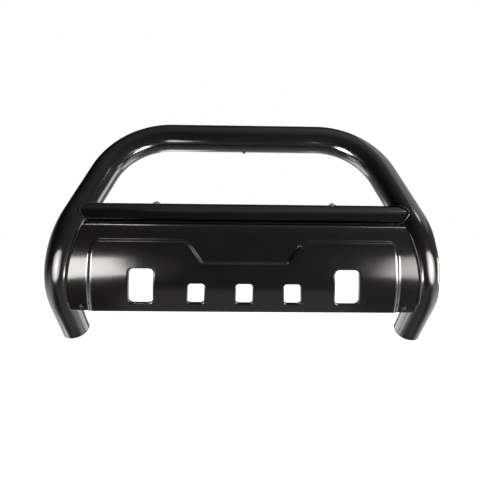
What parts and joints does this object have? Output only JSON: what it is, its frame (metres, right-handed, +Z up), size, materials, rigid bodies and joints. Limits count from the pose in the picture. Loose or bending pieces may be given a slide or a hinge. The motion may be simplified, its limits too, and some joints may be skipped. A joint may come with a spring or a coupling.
{
  "type": "front grille guard",
  "caption": "Bent-tube front grille guard with a cross tube, a pressed skid plate with rectangular cutouts, and frame brackets.",
  "frame": {"origin": "middle of the whole guard's bounding box", "axes": "+X towards the vehicle's left side, -Y forwards (the guard's front), +Z up"},
  "size_m": [1.0438, 0.3012, 0.6092],
  "materials": {
    "gloss_black_coat": "gloss powder coat on steel",
    "satin_black_coat": "satin powder coat on steel plate",
    "black_hardware": "black oxide on steel",
    "zinc_hardware": "bright zinc plate",
    "black_plastic": "moulded, fine grain"
  },
  "bodies": {
    "root": {"main_hoop": "gloss_black_coat", "cross_tube": "gloss_black_coat", "skid_plate": "gloss_black_coat", "skid_plate_top_weld": "gloss_black_coat", "top_bar_plug": "black_plastic", "left_cross_tube_weld": "gloss_black_coat", "left_skid_plate_weld": "gloss_black_coat", "left_mount_ear": "gloss_black_coat", "left_ear_weld": "gloss_black_coat", "left_skid_tab": "gloss_black_coat", "left_frame_bracket": "satin_black_coat", "left_bracket_gusset": "satin_black_coat", "left_foot_cap": "black_plastic", "left_light_rivet_nut": "zinc_hardware", "left_light_screw": "black_hardware", "left_skid_washer": "black_hardware", "left_skid_screw": "black_hardware", "left_skid_nut": "zinc_hardware", "left_upper_mount_washer": "zinc_hardware", "left_upper_mount_bolt": "zinc_hardware", "left_upper_mount_nut": "zinc_hardware", "left_lower_mount_washer": "zinc_hardware", "left_lower_mount_bolt": "zinc_hardware", "left_lower_mount_nut": "zinc_hardware", "right_cross_tube_weld": "gloss_black_coat", "right_skid_plate_weld": "gloss_black_coat", "right_mount_ear": "gloss_black_coat", "right_ear_weld": "gloss_black_coat", "right_skid_tab": "gloss_black_coat", "right_frame_bracket": "satin_black_coat", "right_bracket_gusset": "satin_black_coat", "right_foot_cap": "black_plastic", "right_light_rivet_nut": "zinc_hardware", "right_light_screw": "black_hardware", "right_skid_washer": "black_hardware", "right_skid_screw": "black_hardware", "right_skid_nut": "zinc_hardware", "right_upper_mount_washer": "zinc_hardware", "right_upper_mount_bolt": "zinc_hardware", "right_upper_mount_nut": "zinc_hardware", "right_lower_mount_washer": "zinc_hardware", "right_lower_mount_bolt": "zinc_hardware", "right_lower_mount_nut": "zinc_hardware"}
  },
  "joints": []
}
